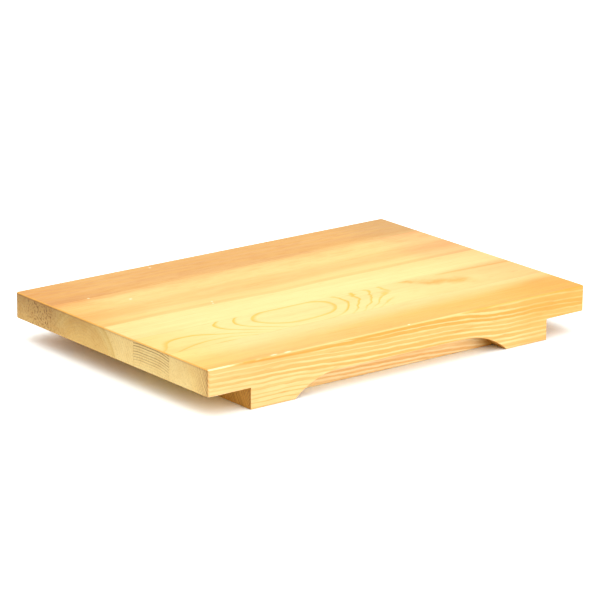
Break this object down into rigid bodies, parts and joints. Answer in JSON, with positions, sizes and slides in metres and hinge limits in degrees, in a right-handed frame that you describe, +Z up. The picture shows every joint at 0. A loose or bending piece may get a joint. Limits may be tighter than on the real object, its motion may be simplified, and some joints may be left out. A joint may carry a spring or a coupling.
{
  "type": "sushi geta board",
  "caption": "Rectangular footed serving board for sushi, glued up from pine staves, standing on lengthwise foot rails with finger recesses cut in the long sides.",
  "frame": {"origin": "on the table, under the middle of the board", "axes": "+X along the board's length, +Y to its back, +Z up"},
  "size_m": [0.35, 0.24, 0.036],
  "materials": {
    "front_pine": "planed and sanded, bare, lines along the length",
    "cathedral_pine": "planed and sanded, bare, flat-sawn figure",
    "heart_pine": "planed and sanded, bare, sapwood to heartwood",
    "rear_pine": "planed and sanded, bare, heartwood",
    "dowel_beech": "turned, hidden in the seams"
  },
  "bodies": {
    "root": {"front_rail_stave": "front_pine", "cathedral_stave": "cathedral_pine", "heart_stave": "heart_pine", "rear_rail_stave": "rear_pine", "front_seam_dowels": "dowel_beech", "middle_seam_dowels": "dowel_beech", "rear_seam_dowels": "dowel_beech"}
  },
  "joints": []
}
